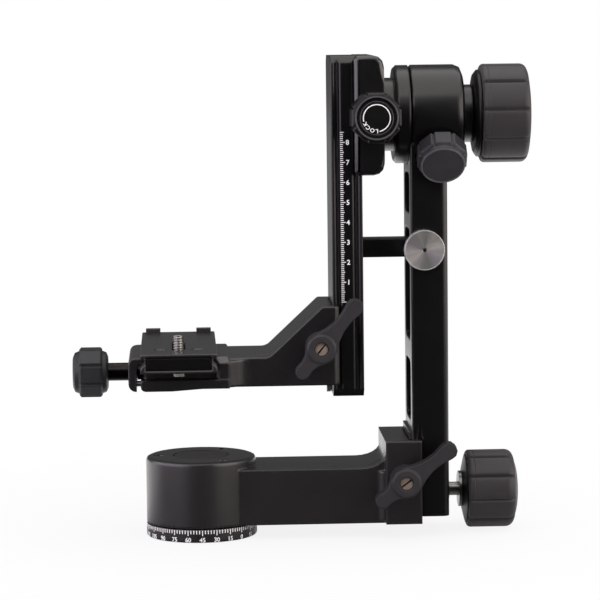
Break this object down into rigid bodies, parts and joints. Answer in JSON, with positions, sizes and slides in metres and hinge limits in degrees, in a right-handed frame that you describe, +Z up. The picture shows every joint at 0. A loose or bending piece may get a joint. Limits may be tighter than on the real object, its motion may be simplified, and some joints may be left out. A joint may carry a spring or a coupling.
{
  "type": "gimbal tripod head",
  "caption": "Gimbal head for a tripod: panning base, L-shaped arm and upright, side-hung swinging rail with a height-adjustable platform and dovetail clamp that carries a lens plate.",
  "frame": {"origin": "centre of the base ring's underside, on the pan axis, where the tripod's stud enters", "axes": "+Z up along the pan axis, +X from the pan axis along the arm towards the upright and the lock knobs, +Y towards the back, away from the levers"},
  "size_m": [0.2327, 0.103, 0.2428],
  "materials": {
    "anodised": "black satin anodised",
    "dark_anodised": "black satin anodised",
    "steel": "bright machined",
    "turned": "turned and polished",
    "brass": "machined",
    "bronze": "sintered, oiled",
    "rubber": "matte",
    "plastic": "fine satin",
    "nylon": "fine satin",
    "white_nylon": "satin"
  },
  "bodies": {
    "base": {"base_ring": "anodised", "pan_spindle": "steel", "pan_bearing_inner_race": "steel", "pan_bearing_balls": "steel", "pan_retaining_nut": "steel"},
    "arm": {"base_arm": "anodised", "pan_bearing_outer_race": "steel", "pan_bush": "bronze", "cap_disc": "anodised", "cap_screw_1": "steel", "cap_screw_2": "steel", "cap_screw_3": "steel", "foot_clamp_bolt": "steel"},
    "pan_lock": {"pan_lock_rod": "steel", "pan_rod_washer": "steel", "pan_knob_washer": "steel", "pan_knob_hub": "plastic", "pan_lock_knob": "rubber"},
    "pan_shoe": {"pan_clamp_shoe": "brass"},
    "foot_lever": {"foot_lever": "nylon", "foot_lever_screw": "steel"},
    "upright": {"upright": "dark_anodised", "tilt_bearing_left": "steel", "tilt_bearing_right": "steel", "hub_end_cap": "dark_anodised", "latch_spacer_front": "white_nylon", "latch_spacer_rear": "white_nylon"},
    "latch": {"latch_bar": "dark_anodised"},
    "latch_screw": {"latch_thumbscrew": "turned"},
    "tilt_lock": {"tilt_lock_screw": "steel", "tilt_knob_hub": "plastic", "tilt_lock_knob": "rubber"},
    "tilt_brake": {"tilt_brake_disc": "brass"},
    "drag": {"drag_knob": "plastic", "drag_screw": "steel"},
    "drag_shoe": {"drag_shoe": "white_nylon"},
    "swing": {"tilt_shaft": "steel", "tilt_collar": "dark_anodised", "rail_clamp": "dark_anodised", "rail_clamp_screw_lower": "steel", "rail_clamp_screw_upper": "steel"},
    "rail_lock": {"rail_lock_knob": "plastic", "rail_lock_bolt": "steel"},
    "rail": {"rail": "dark_anodised", "rail_stop_screw": "steel"},
    "platform": {"platform": "anodised", "platform_clamp_bolt": "steel"},
    "platform_lever": {"platform_lever": "nylon", "platform_lever_screw": "steel"},
    "jaw": {"moving_jaw": "anodised", "jaw_guide_pin_front": "steel", "jaw_guide_pin_rear": "steel"},
    "jaw_knob": {"quick_release_knob": "plastic", "quick_release_shaft": "steel"},
    "plate": {"camera_plate": "anodised", "plate_stop_left": "rubber", "plate_stop_right": "rubber", "plate_safety_screw_front": "steel", "plate_safety_screw_rear": "steel"},
    "camera_screw": {"camera_screw": "steel"}
  },
  "joints": [
    {"name": "pan", "type": "hinge", "parent": "base", "child": "arm", "pos_m": [0, 0, 0], "axis": [0, 0, 1], "continuous": true},
    {"name": "pan_lock_turn", "type": "hinge", "parent": "arm", "child": "pan_lock", "pos_m": [0.1332, 0, 0.0206], "axis": [-1, 0, 0], "range_deg": [-180, 150]},
    {"name": "pan_shoe_press", "type": "slide", "parent": "arm", "child": "pan_shoe", "axis": [-1, 0, 0], "range_m": [-0.0005, 0.00042]},
    {"name": "foot_lever_turn", "type": "hinge", "parent": "arm", "child": "foot_lever", "pos_m": [0.1019, -0.026, 0.0304], "axis": [0, -1, 0], "range_deg": [0, 75]},
    {"name": "upright_rise", "type": "slide", "parent": "arm", "child": "upright", "axis": [0, 0, 1], "range_m": [0, 0.038]},
    {"name": "latch_fold", "type": "hinge", "parent": "upright", "child": "latch", "pos_m": [0.113, 0, 0.1455], "axis": [0, -1, 0], "range_deg": [0, 90]},
    {"name": "latch_screw_turn", "type": "hinge", "parent": "upright", "child": "latch_screw", "pos_m": [0.113, -0.021, 0.1455], "axis": [0, -1, 0], "range_deg": [0, 360]},
    {"name": "tilt_lock_turn", "type": "hinge", "parent": "upright", "child": "tilt_lock", "pos_m": [0.1435, 0, 0.2126], "axis": [-1, 0, 0], "range_deg": [0, 180]},
    {"name": "tilt_brake_press", "type": "slide", "parent": "upright", "child": "tilt_brake", "axis": [-1, 0, 0], "range_m": [0, 0.00051]},
    {"name": "drag_turn", "type": "hinge", "parent": "upright", "child": "drag", "pos_m": [0.1218, -0.03056, 0.18968], "axis": [0, 0.8, 0.6], "range_deg": [0, 100]},
    {"name": "drag_shoe_press", "type": "slide", "parent": "upright", "child": "drag_shoe", "axis": [0, 0.8, 0.6], "range_m": [0, 0.00028]},
    {"name": "tilt", "type": "hinge", "parent": "upright", "child": "swing", "pos_m": [0.1075, 0, 0.2126], "axis": [1, 0, 0], "continuous": true},
    {"name": "rail_lock_turn", "type": "hinge", "parent": "swing", "child": "rail_lock", "pos_m": [0.088, -0.026, 0.2126], "axis": [0, -1, 0], "range_deg": [0, 180]},
    {"name": "rail_slide", "type": "slide", "parent": "swing", "child": "rail", "axis": [0, 0, 1], "range_m": [-0.028, 0.005]},
    {"name": "platform_slide", "type": "slide", "parent": "rail", "child": "platform", "axis": [0, 0, 1], "range_m": [-0.0012, 0.058]},
    {"name": "platform_lever_turn", "type": "hinge", "parent": "platform", "child": "platform_lever", "pos_m": [0.0602, -0.026, 0.0984], "axis": [0, -1, 0], "range_deg": [0, 90]},
    {"name": "jaw_open", "type": "slide", "parent": "platform", "child": "jaw", "axis": [-1, 0, 0], "range_m": [0, 0.003]},
    {"name": "jaw_knob_turn", "type": "hinge", "parent": "jaw", "child": "jaw_knob", "pos_m": [-0.0493, 0, 0.0839], "axis": [-1, 0, 0], "range_deg": [0, 721]},
    {"name": "plate_slide", "type": "slide", "parent": "platform", "child": "plate", "axis": [0, 1, 0], "range_m": [-0.018, 0.006]},
    {"name": "camera_screw_turn", "type": "hinge", "parent": "plate", "child": "camera_screw", "pos_m": [-0.0105, -0.026, 0.0978], "axis": [0, 0, 1], "continuous": true}
  ],
  "couplings": [
    {"joint": "pan_shoe_press", "follows": "pan_lock_turn", "m_per_rad": 0.00015915},
    {"joint": "tilt_brake_press", "follows": "tilt_lock_turn", "m_per_rad": 0.00015915},
    {"joint": "drag_shoe_press", "follows": "drag_turn", "m_per_rad": 0.00015915},
    {"joint": "jaw_knob_turn", "follows": "jaw_open", "rad_per_m": 4188.8}
  ]
}
